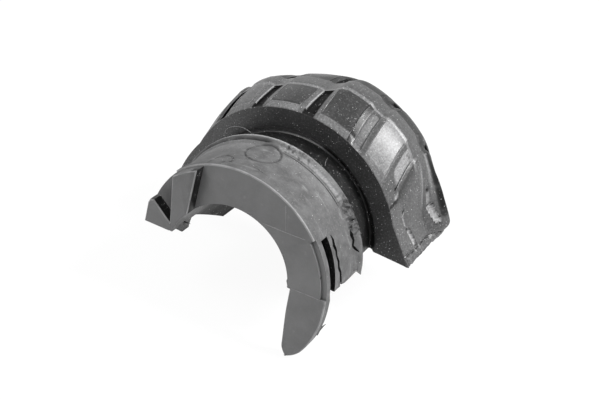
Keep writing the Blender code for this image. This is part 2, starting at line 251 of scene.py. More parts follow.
def foot_marks(deg, y):
    """Creases, dents and the bead of flash on the right foot, as a height."""
    if deg > FOOT_MARKS_END_DEG:
        return 0.0
    rise = 0.0
    for crease_y, low, high in CREASES:
        ends = between(deg, low, low + CREASE_FADE_DEG, high - CREASE_FADE_DEG, high)
        rise -= CREASE_DEPTH * bump(y, crease_y, CREASE_HALF_W) * ends
    for a, y0, b, y1 in DENTS:
        scale = math.radians(TREAD_EDGE_R + FOOT_OUT)
        along, across = (b - a) * scale, y1 - y0
        t = ((deg - a) * scale * along + (y - y0) * across) / (along ** 2 + across ** 2)
        t = min(1.0, max(0.0, t))
        gap = math.hypot((deg - a) * scale - along * t, y - y0 - across * t)
        wall = 1.0 - smooth(gap, DENT_HALF_W * DENT_FLOOR_SHARE, DENT_HALF_W)
        rise -= DENT_DEPTH * (DENT_START_SHARE - DENT_RUN_OUT * t) * wall
    ragged = BEAD_UNEVEN_DEG * uneven(y, deg, *BEAD_NOISE)
    rise += BEAD_RISE * (1.0 - smooth(deg, BEAD_DEG[0] + ragged, BEAD_DEG[1] + ragged))
    groove_deg = BEAD_DEG[1] + BEAD_GROOVE_GAP_DEG + ragged
    return rise - BEAD_GROOVE_DEPTH * bump(deg, groove_deg, BEAD_GROOVE_HALF_DEG)


def tread_radius(deg, y):
    """Radius of the tread surface: bevelled band, pads, grooves, middle rib and wear."""
    side = max(0.0, min(y - TREAD_Y, TREAD_Y + TREAD_W - y))
    rear = y > TREAD_Y + TREAD_HALF
    foot = foot_angle(deg)
    if deg < 90.0:
        band = BAND_W + (BAND_FOOT_W[rear] - BAND_W) * (1.0 - smooth(deg, *BAND_FOOT_DEG))
    else:
        band = BAND_W + (BAND_LEFT_W - BAND_W) * (1.0 - smooth(foot, *BAND_LEFT_DEG))
    crest = by_angle(CREST, deg)
    band_rise = by_angle(BAND_REAR_RISE, deg) if rear else BAND_RISE
    if side <= band:
        rise = band_rise * side / band
    else:
        rise = crest - (crest - band_rise) * ((TREAD_HALF - side) / (TREAD_HALF - band)) ** 2
    rib = ramp(side, RIB_FOOT, RIB_TOP)
    off_rib = 1.0 - ramp(side, RIB_FOOT - PAD_LINE_FADE_W, RIB_FOOT)
    rise = (rise + RIB_RISE * rib) * crown_left(deg, y)
    rise -= PAD_LINE_DEPTH * bump(side, band + PAD_END_GAP, PAD_END_HALF_W) * smooth(foot, *PAD_END_DEG)
    for centre in GROOVE_DEG:
        off = abs(deg - centre)
        half_line = width_deg(PAD_LINE_W)
        line = PAD_LINE_DEPTH * bump(off, BEVEL_END_DEG + half_line, half_line)
        rise -= line * off_rib * ramp(side, band, band + PAD_LINE_FADE_W) * smooth(foot, *PAD_LINE_DEG)
        if off >= BEVEL_END_DEG:
            continue
        start = GROOVE_FOOT_START if rear or centre < FADE_FRONT_DEG[1] else 0.0
        lean = 1.0 - ramp(off, WALL_END_DEG, BEVEL_END_DEG)
        lean *= ramp(side, start * 0.5, max(start, BAND_W))
        rise -= (BEVEL_DROP * (1.0 - rib) + RIB_DIP * rib) * lean
        cut = 1.0 - ramp(off, FLOOR_END_DEG, WALL_END_DEG)
        cut *= 1.0 - ramp(side, GROOVE_LENGTH, GROOVE_LENGTH + GROOVE_END_W)
        cut *= ramp(side, start - GROOVE_END_W, start) if start else 1.0
        rise -= GROOVE_WALL_H * cut
    wave = WAVE_H * uneven(deg, y, *WAVE_NOISE) * min(1.0, side) * smooth(foot, *WAVE_FOOT_DEG)
    rise = max(rise + wave, GROOVE_SILL if side > 0.0 else 0.0)
    return edge_radius(deg, y) + rise + foot_marks(deg, y) * min(1.0, side / FOOT_MARKS_EDGE_W)


def lean_over(deg, r):
    """Above the feet a station keeps its x as the radius grows, as the grooves do."""
    share = smooth(min(deg, 180.0 - deg), *LEAN_DEG)
    c = math.cos(math.radians(deg)) * GROOVE_REF_R / r
    return deg + share * (math.degrees(math.acos(max(-1.0, min(1.0, c)))) - deg)


def spaced(low, high, size):
    """Even steps from low up to, but not including, high."""
    n = max(1, round((high - low) / size))
    return [low + (high - low) * i / n for i in range(n)]


def ring_radius(deg, y):
    """Radius of the ring and its lip: ejector circles, lines of the lip and its torn edge."""
    r = RING_R + LIP_H * smooth(y, *LIP_SLOPE_Y)
    for centre, mid_y, size in EJECTORS:
        gap = math.hypot(math.radians(deg - centre) * RING_R, y - mid_y) - size
        r -= EJECTOR_DEPTH * bump(gap, 0.0, EJECTOR_HALF_W)
    for line_y, half_w, height in LIP_LINES_LEFT:
        r += height * bump(y, line_y, half_w) * smooth(deg, *LIP_LEFT_DEG)
    for line_y, half_w, height in LIP_LINES_RIGHT:
        r += height * bump(y, line_y, half_w) * between(deg, *LIP_RIGHT_DEG)
    torn = between(deg, *TORN_RIGHT_DEG) * smooth(y, *TORN_RIGHT_Y)
    torn += TORN_TOP_SHARE * between(deg, *TORN_TOP_DEG) * between(y, *TORN_TOP_Y)
    rough = uneven(deg, y, *TORN_NOISE) + TORN_FINE_SHARE * uneven(deg, y, *TORN_FINE_NOISE)
    r += torn * (TORN_HEIGHT * rough - TORN_SINK)
    r += LIP_WAVE_H * smooth(y, *LIP_WAVE_Y) * uneven(deg, y, *LIP_NOISE)
    return r + RING_WAVE_H * uneven(deg, y, *RING_NOISE)


# Lines along the ring, the neck and the annular face, then along the tread
ring_lines = spaced(SWEEP_START_Y, LIP_Y - LIP_FINE_W, RING_STEP)
ring_lines += spaced(LIP_Y - LIP_FINE_W, LIP_Y - 0.25, LIP_STEP) + [LIP_Y - 0.2]
neck = [(LIP_R - 0.15, LIP_Y - 0.04), (LIP_R - 0.5, LIP_Y), (LIP_R - LIP_TOP_W, LIP_Y)]
for i in range(1, 11):
    turn = math.pi * i / 20.0
    neck.append((NECK_R + (LIP_R - LIP_TOP_W - NECK_R) * (1.0 - math.sin(turn)),
                 LIP_Y + NECK_FILLET * (1.0 - math.cos(turn))))
dish_y = TREAD_Y + DISH_DEPTH
neck += [(NECK_R, y) for y in spaced(LIP_Y + NECK_FILLET + NECK_STEP, dish_y - NECK_STEP, NECK_STEP)]
neck += [(NECK_R + 0.04, dish_y - 0.25), (NECK_R + 0.3, dish_y)]
neck += [(DISH_R - 0.7, TREAD_Y + DISH_DEPTH * 0.75), (DISH_R - 0.15, TREAD_Y + 0.12)]
neck.append((DISH_R + 0.1, TREAD_Y))
line_edges = [0.0, BAND_W, GROOVE_FOOT_START - GROOVE_END_W, GROOVE_FOOT_START, GROOVE_LENGTH,
              GROOVE_LENGTH + GROOVE_END_W, RIB_FOOT, RIB_TOP, TREAD_HALF]
front_run = []
for a, b in zip(line_edges, line_edges[1:]):
    front_run += spaced(a, b, LINE_STEP)
run = front_run + [TREAD_HALF] + [TREAD_W - d for d in reversed(front_run)]

# Stations round the bar, with one at each edge of the grooves, bevels and pad lines
edges = [GROOVE_FLOOR_W / 2.0]
for w in (GROOVE_WALL_W, BEVEL_W, PAD_LINE_W, PAD_LINE_W):
    edges.append(edges[-1] + w)
marks = [c + side * width_deg(w) for c in GROOVE_DEG for w in edges for side in (-1, 1)]
marks += [-SWEEP_DEG, FOOT_END_DEG, BEAD_DEG[0], BEAD_DEG[1], BEAD_FINE_END_DEG, 180.0 + SWEEP_DEG]
marks.sort()
stations = []
for a, b in zip(marks, marks[1:]):
    near_bead = a >= FOOT_END_DEG and b <= BEAD_FINE_END_DEG
    stations += spaced(a, b, STATION_DEG * (BEAD_FINE_SHARE if near_bead else 1.0))
stations.append(marks[-1])


def closed_loft(name, rings):
    """A closed body through equal rings of points, with a flat cap at each end."""
    bm = bmesh.new()
    rows = [[bm.verts.new(p * MM) for p in ring] for ring in rings]
    n = len(rows[0])
    for r0, r1 in zip(rows, rows[1:]):
        for i in range(n):
            j = (i + 1) % n
            bm.faces.new((r0[i], r0[j], r1[j], r1[i]))
    bm.faces.new(list(reversed(rows[0])))
    bm.faces.new(rows[-1])
    bmesh.ops.triangulate(bm, faces=[f for f in bm.faces if len(f.verts) > 4])
    bmesh.ops.recalc_face_normals(bm, faces=bm.faces[:])
    mesh = bpy.data.meshes.new(name)
    bm.to_mesh(mesh)
    bm.free()
    obj = bpy.data.objects.new(name, mesh)
    bpy.context.scene.collection.objects.link(obj)
    return obj


rings = []
for deg in stations:
    ring = [polar(CORE_R, deg, SWEEP_START_Y)]
    ring += [polar(ring_radius(deg, y), deg, y) for y in ring_lines]
    ring += [polar(r, deg, y) for r, y in neck]
    edge = edge_radius(deg, TREAD_Y)
    low_end = polar(DISH_R + 0.1, deg, TREAD_Y)
    high_end = polar(edge, lean_over(deg, edge), TREAD_Y)
    ring += [low_end.lerp(high_end, k) for k in FACE_STEPS]
    for d in run:
        r = tread_radius(deg, TREAD_Y + d)
        ring.append(polar(r, lean_over(deg, r), TREAD_Y + d))
    ring += [polar(DISH_R, deg, LENGTH), polar(BORE_R + 1.0, deg, LENGTH), polar(CORE_R, deg, LENGTH)]
    rings.append(ring)
moulding = closed_loft("moulded_half", rings)

# Split line and relief slot
# The half is parted level on the right and steps down on the left. A narrow slot
# is cut behind the tongue.
REACH = 2.0 * (TREAD_EDGE_R + FOOT_OUT)
KEEPER_BOTTOM_Z = 3.4
LEFT_STEP_Y = 6.6
LEFT_SLOPE_Y = 19.6
SLOT_Y = PLATE_T + 0.5
SLOT_W = 2.5
SLOT_FLOOR_R = RING_R - 3.9
SLOT_TOP_DEG = 36.0
SLOT_STEP_DEG = 2.0
TAB_CLEAR = 0.2
TAB_BOTTOM_Z = 0.7


def along_y(name, levels):
    """A body along Y through (y, outline) levels, each outline in (x, z)."""
    return closed_loft(name, [[Vector((x, y, z)) for x, z in pts] for y, pts in levels])


def along_x(name, x0, x1, outline):
    """A body along X with one outline in (y, z)."""
    return closed_loft(name, [[Vector((x, y, z)) for y, z in outline] for x in (x0, x1)])


def combine(body, tool, operation):
    """Exact boolean of the tool into the body; the tool is then removed."""
    bpy.context.view_layer.objects.active = body
    mod = body.modifiers.new(operation, "BOOLEAN")
    mod.operation = operation
    mod.solver = "EXACT"
    mod.object = tool
    bpy.ops.object.modifier_apply(modifier=mod.name)
    bpy.data.objects.remove(tool, do_unlink=True)


low = [(REACH, -REACH), (-REACH, -REACH)]
right = low + [(-REACH, SPLIT_RIGHT_Z), (REACH, SPLIT_RIGHT_Z)]
combine(moulding, along_x("below_right", 0.0, REACH, right), "DIFFERENCE")
tab_y = SLOT_Y + SLOT_W - TAB_CLEAR
left = low + [(-REACH, TAB_BOTTOM_Z), (tab_y, TAB_BOTTOM_Z), (tab_y, KEEPER_BOTTOM_Z)]
left += [(LEFT_STEP_Y, KEEPER_BOTTOM_Z), (LEFT_SLOPE_Y, SPLIT_LEFT_Z), (REACH, SPLIT_LEFT_Z)]
combine(moulding, along_x("below_left", -REACH, 0.0, left), "DIFFERENCE")
slot_end_y = SLOT_Y + SLOT_W
slot = [(SLOT_FLOOR_R, SLOT_Y), (REACH, SLOT_Y), (REACH, slot_end_y), (SLOT_FLOOR_R, slot_end_y)]
rings = [[polar(r, SLOT_TOP_DEG - SLOT_STEP_DEG * i, y) for r, y in slot] for i in range(26)]
combine(moulding, closed_loft("relief_slot", rings), "DIFFERENCE")

# End plate and tongue
# A flat plate closes the front of the ring. Below the split it runs on as the tongue,
# straight inside, round outside, with a rabbet along its rim on the right.
PLATE_R = RING_R + 0.4
PLATE_EDGE = 0.35
RABBET_W = 1.2
RABBET_DEPTH = 0.7
RABBET_TOP_Z = 13.6
RABBET_GAP = 0.3
TONGUE_X = BORE_R + 0.55
TONGUE_ARC_R = PLATE_R + 0.7
TONGUE_ARC_SHIFT = 0.5
TONGUE_ARC_Z = -1.3
TONGUE_TIP_Z = -(BORE_R + 2.1)
TONGUE_TIP_R = 3.1
TONGUE_TAPER = 0.6
TONGUE_TOP = 1.06


def arc(r, deg0, deg1, count):
    """Points (x, z) on a circle about the bar axis."""
    angles = [math.radians(deg0 + (deg1 - deg0) * i / count) for i in range(count + 1)]
    return [(r * math.cos(a), r * math.sin(a)) for a in angles]


left_deg = 180.0 - math.degrees(math.asin(KEEPER_BOTTOM_Z / PLATE_R))
inner = arc(CORE_R, left_deg, 6.0, 120)
outer = arc(PLATE_R, left_deg, 6.0, 120)
for i in range(49):
    t = TONGUE_TOP * (1.0 - i / 48.0) ** 1.25
    d = -TONGUE_TIP_Z * t
    z = TONGUE_TIP_Z + d
    nip = TONGUE_TIP_R - math.sqrt(TONGUE_TIP_R ** 2 - max(0.0, TONGUE_TIP_R * 0.85 - d) ** 2)
    taper = TONGUE_TAPER * (1.0 - smooth(t, 0.0, 0.8))
    edge = math.sqrt(TONGUE_ARC_R ** 2 - min(0.0, z - TONGUE_ARC_Z) ** 2) - TONGUE_ARC_SHIFT
    inner.append((TONGUE_X + taper + nip, z))
    outer.append((edge - nip, z))
rings = []
for i, (a, b) in enumerate(zip(inner, outer)):
    across = (Vector(b) - Vector(a)).normalized() * PLATE_EDGE
    lift = PLATE_EDGE if i == len(inner) - 1 else 0.0
    rings.append([Vector(p) for p in (
        (a[0] + across.x, 0.0, a[1] + across.y + lift), (b[0] - across.x, 0.0, b[1] - across.y + lift),
        (b[0] - across.x * 0.3, PLATE_EDGE * 0.3, b[1] - across.y * 0.3 + lift * 0.3),
        (b[0], PLATE_EDGE, b[1]), (b[0], PLATE_T, b[1]), (a[0], PLATE_T, a[1]), (a[0], PLATE_EDGE, a[1]))])
combine(moulding, closed_loft("end_plate", rings), "UNION")
rabbet_r = PLATE_R - RABBET_W
ends = [math.degrees(math.asin(z / rabbet_r)) for z in (SPLIT_RIGHT_Z + RABBET_GAP, RABBET_TOP_Z)]
rabbet = arc(rabbet_r, ends[0], ends[1], 24) + arc(LIP_R + 2.0, ends[1], ends[0], 24)
combine(moulding, along_y("rim_rabbet", [(-2.0, rabbet), (RABBET_DEPTH, rabbet)]), "DIFFERENCE")

# Keeper
# On the left a block stands in front of the pocket that takes the other half's tongue,
# and a notched ear closes the pocket at the side.
POCKET_CLEAR = 0.2
POCKET_X = 1.15 - TONGUE_X
POCKET_Z = POCKET_CLEAR - TONGUE_TIP_Z
POCKET_CORNER = 2.6
KEEPER_H = 2.8
KEEPER_EDGE = 0.25
BLOCK_LEFT_X = (-BORE_R - 1.1, -BORE_R - 0.2)
BLOCK_RIGHT_X = (4.45 - BORE_R, 3.6 - BORE_R)
BLOCK_WAIST_Z = 9.0
EAR_LEFT_X = 1.9 - RING_R
EAR_TOP_Z = 9.2
EAR_NOTCH = (-BORE_R - 0.7, 5.75)


def inset(points, d):
    """The closed outline moved inwards by d, corner by corner."""
    turn = sum(a[0] * b[1] - b[0] * a[1] for a, b in zip(points, points[1:] + points[:1]))
    side = 1.0 if turn > 0 else -1.0
    out = []
    for i, p in enumerate(points):
        a, b, c = Vector(points[i - 1]), Vector(p), Vector(points[(i + 1) % len(points)])
        n0 = Vector((-(b - a).y, (b - a).x)).normalized() * side
        n1 = Vector((-(c - b).y, (c - b).x)).normalized() * side
        m = (n0 + n1).normalized()
        m = m * (d / max(0.5, m.dot(n0)))
        out.append((b.x + m.x, b.y + m.y))
    return out


block_deg = [math.degrees(math.acos(x / RING_R)) for x in (BLOCK_LEFT_X[0], BLOCK_RIGHT_X[0])]
block = arc(RING_R, block_deg[0], block_deg[1], 10)
block += [(BLOCK_RIGHT_X[1], BLOCK_WAIST_Z), (BLOCK_LEFT_X[1] + 0.8, KEEPER_BOTTOM_Z)]
block.append((BLOCK_LEFT_X[1], KEEPER_BOTTOM_Z))
levels = [(-KEEPER_H, inset(block, KEEPER_EDGE)), (-KEEPER_H + KEEPER_EDGE, block), (0.9, block)]
combine(moulding, along_y("keeper_block", levels), "UNION")
pocket = [(POCKET_X, -POCKET_Z), (-REACH, -POCKET_Z), (-REACH, POCKET_Z * 0.5)]
pocket += [(POCKET_X - 6.8, POCKET_Z - POCKET_CORNER), (POCKET_X - 4.4, POCKET_Z)]
pocket += [(POCKET_X - 1.6, POCKET_Z), (POCKET_X - 0.7, POCKET_Z - 1.5), (POCKET_X, POCKET_Z * 0.5)]
levels = [(-POCKET_CLEAR, pocket), (PLATE_T + POCKET_CLEAR, pocket)]
combine(moulding, along_y("pocket", levels), "DIFFERENCE")
ear = [(EAR_LEFT_X, KEEPER_BOTTOM_Z - 0.3), (EAR_LEFT_X + 0.35, EAR_TOP_Z - 1.2)]
ear += [(EAR_LEFT_X + 0.8, EAR_TOP_Z - 0.2), (EAR_LEFT_X + 1.7, EAR_TOP_Z), EAR_NOTCH]
ear += [(BLOCK_LEFT_X[1] + 0.4, EAR_NOTCH[1] - 0.5), (BLOCK_LEFT_X[1] + 0.5, KEEPER_BOTTOM_Z + 0.2)]
ear.append((BLOCK_LEFT_X[1] - 0.3, KEEPER_BOTTOM_Z - 0.1))
levels = [(-KEEPER_H, inset(ear, KEEPER_EDGE)), (-KEEPER_H + KEEPER_EDGE, ear), (-POCKET_CLEAR, ear)]
combine(moulding, along_y("keeper_ear", levels), "UNION")

# Bore
# The seat for the bar is moulded by a round core pin through the whole length.
BORE_FACETS = 240
bore = arc(BORE_R, 0.0, 360.0, BORE_FACETS)[:-1]
combine(moulding, along_y("bore", [(-REACH, bore), (REACH, bore)]), "DIFFERENCE")

# Tears and flash
# The rubber has split beside the slot and under the lip, its lower edges are ragged, and
# the joints of the mould left thin raised lines on the plate and slivers on its edges.
# A tear is (width, depth) with its (angle, y) points, from end to end.
TEARS = ((1.0, 1.8, ((35.2, 6.7), (32.0, 6.9), (29.3, 6.6), (26.0, 6.9), (22.7, 6.7), (19.0, 7.1),
                     (16.0, 6.9), (12.0, 7.6), (8.1, 7.8), (3.0, 8.3), (-4.0, 8.5))),
         (0.65, 1.2, ((30.0, 14.1), (27.0, 13.8), (23.7, 14.1), (20.5, 13.7), (18.0, 14.2), (15.6, 14.9))),
         (0.07, 0.1, ((91.6, 4.0), (88.0, 3.7), (84.7, 3.5), (79.0, 3.1))),
         (0.1, 0.14, ((112.0, 5.75), (108.5, 5.85), (105.0, 5.5))))
TEAR_END_SHARE = 0.12
TEAR_MEAN_SHARE = 0.75
TEAR_UNEVEN = 0.4
TEAR_NOISE = (1.0, 1.0, 4.0)
TEAR_TOP_R = LIP_R + 1.0
TEAR_MOUTH_R = RING_R - 0.05


def wedge(width, depth, path):
    """A V-shaped cutter along (angle, y) points on the ring, thin at both ends."""
    rings = []
    for i, (deg, y) in enumerate(path):
        share = TEAR_MEAN_SHARE + TEAR_UNEVEN * uneven(deg, y, *TEAR_NOISE)
        w = width * (TEAR_END_SHARE if i in (0, len(path) - 1) else share)
        section = ((TEAR_TOP_R, -w), (TEAR_TOP_R, w), (TEAR_MOUTH_R, w * 0.5),
                   (RING_R - depth, 0.0), (TEAR_MOUTH_R, w * -0.5))
        rings.append([polar(r, deg, y + off) for r, off in section])
    return rings


for width, depth, path in TEARS:
    combine(moulding, closed_loft("tear", wedge(width, depth, path)), "DIFFERENCE")

PLATE_LINES = (((5.9, 13.35), (10.0, 13.5), (15.9, 13.85)), ((10.3, 19.6), (10.8, 17.0), (11.35, 14.0)),
               ((14.7, 1.15), (18.2, 1.4), (21.4, 1.55)))
LINE_W = 0.16
LINE_H = 0.07
LINE_SHOULDER_Y = -LINE_H * 0.3
LINE_ROOT_Y = 0.1


def plate_line(path):
    """A thin raised line on the face of the plate through (x, z) points."""
    section = ((-1.0, LINE_ROOT_Y), (-1.0, LINE_SHOULDER_Y), (0.0, -LINE_H),
               (1.0, LINE_SHOULDER_Y), (1.0, LINE_ROOT_Y))
    rings = []
    for i, (x, z) in enumerate(path):
        a, b = path[max(0, i - 1)], path[min(len(path) - 1, i + 1)]
        along = Vector((b[0] - a[0], b[1] - a[1])).normalized()
        n = Vector((-along.y, along.x)) * LINE_W / 2.0
        rings.append([Vector((x + n.x * side, y, z + n.y * side)) for side, y in section])
    return rings


for path in PLATE_LINES:
    combine(moulding, closed_loft("plate_line", plate_line(path)), "UNION")

SLIVERS = (((22.0, 2.0, -8.6), (22.35, 2.1, -7.2), (22.9, 2.15, -5.9), (23.35, 2.15, -5.1)),
           ((13.95, 0.4, 5.2), (13.65, 0.3, 4.0), (13.8, 0.5, 3.1), (13.55, 0.4, 2.2), (13.9, 0.3, 1.3)),
           ((-14.0, 2.0, 3.6), (-13.4, 2.8, 3.2), (-12.5, 3.2, 3.0)))
SLIVER_W = 0.34
SLIVER_TAPER = 0.8
SLIVER_SECTION = ((-1.0, 0.6, 0.2), (-1.0, -0.6, 0.2), (0.5, 0.0, -0.3))

for path in SLIVERS:
    rings = []
    for i, point in enumerate(path):
        w = SLIVER_W * (1.0 - SLIVER_TAPER * i / (len(path) - 1))
        rings.append([Vector(point) + Vector(corner) * w for corner in SLIVER_SECTION])
    combine(moulding, closed_loft("sliver", rings), "UNION")

# Ragged lower edges on the right, squeezed into the few millimetres above them. The
# ring's edge goes through (y, height) points, and the foot's is uneven.
TORN_EDGE = ((6.0, 0.0), (8.2, -0.15), (9.0, 0.3), (10.2, -0.5), (10.7, 0.1), (12.0, 0.25),
             (12.8, -0.35), (13.6, 0.5), (14.6, 1.0), (15.6, -0.7), (16.2, -0.9), (17.5, 0.1))
TORN_EDGE_X = (18.0, 21.5)
TORN_EDGE_END_Y = LIP_Y + 1.2
RAGGED_H = 0.5
RAGGED_X = (22.0, 28.0)
RAGGED_NOISE = (0.9, 0.3, 6.0)
RAGGED_FINE_SHARE = 0.5
RAGGED_FINE_NOISE = (3.0, 0.3, 2.0)
RAGGED_START_X = 15.0
RAGGED_REACH = 3.0
SPLIT_SLACK = 0.05


def edge_drop(x, y):
    """How far the lower edge on the right is moved up at this place."""
    if y < TORN_EDGE_END_Y:
        drop = sum((d1 - d0) * ramp(y, y0, y1) for (y0, d0), (y1, d1) in zip(TORN_EDGE, TORN_EDGE[1:]))
        return drop * smooth(x, *TORN_EDGE_X)
    if y > TREAD_Y:
        rough = uneven(y, x, *RAGGED_NOISE) + RAGGED_FINE_SHARE * uneven(y, x, *RAGGED_FINE_NOISE)
        return RAGGED_H * rough * smooth(x, *RAGGED_X)
    return 0.0


for v in moulding.data.vertices:
    x, y, z = v.co / MM
    if x < RAGGED_START_X or y < SLOT_Y + SLOT_W:
        continue
    if SPLIT_RIGHT_Z - SPLIT_SLACK <= z <= SPLIT_RIGHT_Z + RAGGED_REACH:
        share = 1.0 - smooth(z, SPLIT_RIGHT_Z, SPLIT_RIGHT_Z + RAGGED_REACH)
        v.co.z += edge_drop(x, y) * MM * share

moulding.data.shade_smooth()
moulding.data.set_sharp_from_angle(angle=math.radians(26.0))


# Bloom and painted light
# Grey bloom, wear and painted light and shade differ from place to place. The attribute holds 1
# for all grey dust or a full painted highlight, 0 for plain rubber, and less where shade is painted darker.
RIB_REAR_Y = TREAD_Y + TREAD_HALF + RIB_W / 2.0
REAR_BLOOM = 0.12
# Painted shade darkens the tread towards the rear, less on the left and just behind the rib on the right; on
# the right foot a lit band, a shaded band and a dark rear edge are painted light and shade.
REAR_PAINTED_SHADE = 0.9
REAR_PAINTED_SHADE_W = 3.0
REAR_LEFT = 0.7
REAR_LEFT_DEG = (80.0, 110.0)
REAR_INNER = 0.75
REAR_INNER_Y = (37.5, 39.5)
REAR_INNER_DEG = (60.0, 70.0)
REAR_FOOT_END_DEG = 34.0
REAR_FOOT = 0.17
REAR_FOOT_LIT = (0.3, 39.2, 0.8)
REAR_FOOT_LIT_DEG = (19.0, 24.0)
REAR_FOOT_SHADE = (0.3, 37.9, 0.5)
REAR_FOOT_SHADE_DEG = (15.0, 22.0)
REAR_FOOT_DARK = 1.1
REAR_FOOT_DARK_Y = (39.9, 40.7)
REAR_FOOT_DARK_DEG = (12.0, 18.0)
PAD_BLOOM = 0.05
PAD_LEFT = 0.22
PAD_LEFT_DEG = (100.0, 128.0)
# A painted highlight lies on the pad between the grooves at 39 and 63 degrees.
PAD_PAINTED_HIGHLIGHT = 0.5
PAD_PAINTED_HIGHLIGHT_DEG = (43.0, 60.0)
# The bevelled front band is painted paler as a sheen, a little more on top.
BAND_PAINTED_SHEEN = 0.28
BAND_TOP = 0.07
BAND_TOP_DEG = (60.0, 90.0)
# A painted highlight runs along the middle rib's bevel, and the rib itself is paler.
RIB_BEVEL_PAINTED_HIGHLIGHT = 0.42
RIB_BEVEL_MARGIN = 0.2
RIB_PALER = 0.16
LEFT_GROOVES_DEG = 80.0
FIRST_GROOVE_END_DEG = 50.0
# Painted light in the grooves: the bevels are painted paler as a sheen, BEVEL_SHADED paints shade on some,
# and the floors of the two right grooves are painted lighter.
BEVEL_LEFT_SHEEN = 0.22
BEVEL_RIGHT_SHEEN = 0.16
BEVEL_SHADED = -0.3
SECOND_GROOVE = 0.3
FIRST_GROOVE = 0.17
FIRST_GROOVE_REAR = 0.5
FIRST_GROOVE_Y = (3.6, 4.4)
CORNER_LIT = (0.8, 34.4, 1.5, 27.5, 0.9)
CORNER_SHADE = (0.9, 33.0, 0.8)
CORNER_SHADE_Y = (27.6, 28.0)
# The right foot is painted paler as lit, with a painted lit line across it.
FOOT_PAINTED_LIGHT = 0.19
FOOT_LIT_LINE = (0.3, 36.3, 0.5)
FOOT_LIT_LINE_DEG = (18.0, 24.0)
FOOT_PAINTED_LIGHT_DEG = (29.0, 35.0)


def rear_dust_and_painted_light(deg, y):
    """Bloom and painted light behind the middle rib: painted shade towards the rear, and paler on the right
    foot, with a painted lit band and painted shade there.
    """
    if deg > REAR_FOOT_END_DEG:
        inner = (1.0 - smooth(y, *REAR_INNER_Y)) * (1.0 - smooth(deg, *REAR_INNER_DEG))
        behind = smooth(y, RIB_REAR_Y, RIB_REAR_Y + REAR_PAINTED_SHADE_W)
        tone = REAR_LEFT * smooth(deg, *REAR_LEFT_DEG) - REAR_PAINTED_SHADE + REAR_INNER * inner
        return REAR_BLOOM + tone * behind
    amount, at, half = REAR_FOOT_LIT
    lit = amount * bump(y, at, half) * smooth(deg, *REAR_FOOT_LIT_DEG)
    amount, at, half = REAR_FOOT_SHADE
    lit -= amount * bump(y, at, half) * smooth(deg, *REAR_FOOT_SHADE_DEG)
    dark = REAR_FOOT_DARK * smooth(y, *REAR_FOOT_DARK_Y) * smooth(deg, *REAR_FOOT_DARK_DEG)
    return REAR_FOOT + lit - dark


def groove_painted_light(centre, off, side):
    """Painted light in one groove: a painted sheen on most leaning bevels and shade on some, painted
    highlights and shade on the walls and floor.
    """
    if abs(off) > WALL_END_DEG + 0.05:
        if FIRST_GROOVE_END_DEG < centre < LEFT_GROOVES_DEG and off > 0.0:
            return BEVEL_SHADED
        return BEVEL_LEFT_SHEEN if centre > LEFT_GROOVES_DEG else BEVEL_RIGHT_SHEEN
    # In the left grooves one wall gets a painted highlight, and the floor and other wall painted shade.
    if centre > LEFT_GROOVES_DEG:
        return 1.0 if off > FLOOR_END_DEG + 0.1 and side > BAND_W else -1.0
    if centre > FIRST_GROOVE_END_DEG:
        return SECOND_GROOVE
    return FIRST_GROOVE + FIRST_GROOVE_REAR * smooth(side, *FIRST_GROOVE_Y)


def tread_dust_and_painted_light(deg, y):
    """Bloom and painted light on the tread: painted sheen and highlights on the bevels, band, rib and one
    pad, a painted lit and shaded corner, and a painted lit right foot.
    """
    if y > RIB_REAR_Y:
        return rear_dust_and_painted_light(deg, y)
    side = min(y - TREAD_Y, TREAD_Y + TREAD_W - y)
    lightening = PAD_BLOOM + PAD_LEFT * smooth(deg, *PAD_LEFT_DEG)
    if PAD_PAINTED_HIGHLIGHT_DEG[0] < deg < PAD_PAINTED_HIGHLIGHT_DEG[1]:
        lightening = PAD_PAINTED_HIGHLIGHT
    if side < BAND_W:
        lightening = BAND_PAINTED_SHEEN + BAND_TOP * smooth(deg, *BAND_TOP_DEG)
    if RIB_FOOT - RIB_BEVEL_MARGIN < side < RIB_FOOT + RIB_BEVEL:
        lightening = RIB_BEVEL_PAINTED_HIGHLIGHT
    elif side > RIB_FOOT:
        lightening = RIB_PALER
    for centre in GROOVE_DEG:
        if side <= GROOVE_LENGTH + GROOVE_END_W and abs(deg - centre) <= BEVEL_END_DEG:
            lightening = groove_painted_light(centre, deg - centre, side)
    amount, at_deg, half_deg, at_y, half_y = CORNER_LIT
    lightening += amount * bump(deg, at_deg, half_deg) * bump(y, at_y, half_y)
    amount, at_deg, half_deg = CORNER_SHADE
    lightening -= amount * bump(deg, at_deg, half_deg) * (1.0 - smooth(y, *CORNER_SHADE_Y))
    amount, at, half = FOOT_LIT_LINE
    foot = FOOT_PAINTED_LIGHT + amount * bump(y, at, half) * smooth(deg, *FOOT_LIT_LINE_DEG)
    return lightening + (foot - lightening) * (1.0 - smooth(deg, *FOOT_PAINTED_LIGHT_DEG))


LEFT_END_BLOOM = 0.07
LEFT_END_DEG = (130.0, 148.0)
# The dents' floors get a painted highlight and their rims painted shade.
PIT_PAINTED_HIGHLIGHT = 0.8
PIT_DEPTH = (0.2, 0.55)
PIT_DEG = (6.2, 6.6)
PIT_RIM_SHADE = 0.45
PIT_RIM_AT = 0.18


